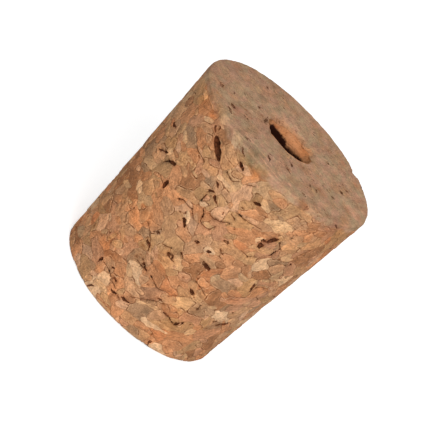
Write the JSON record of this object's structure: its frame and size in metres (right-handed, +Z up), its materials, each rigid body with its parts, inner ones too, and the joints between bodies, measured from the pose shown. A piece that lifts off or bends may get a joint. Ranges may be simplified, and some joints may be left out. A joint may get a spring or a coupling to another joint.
{
  "type": "bored cork stopper",
  "caption": "Tapered stopper of pressed cork granules with a drilled central hole, for closing a vessel's neck round a tube.",
  "frame": {"origin": "centre of the narrow face, on the plane that the stopper stands on", "axes": "+Z up the axis of the taper and of the hole, from the narrow face to the wide face; -Y is the front, the side that the picture shows"},
  "size_m": [0.036, 0.036, 0.0382],
  "materials": {
    "cork": "matte, ground and slightly rough"
  },
  "bodies": {
    "root": {"cork_stopper": "cork"}
  },
  "joints": []
}
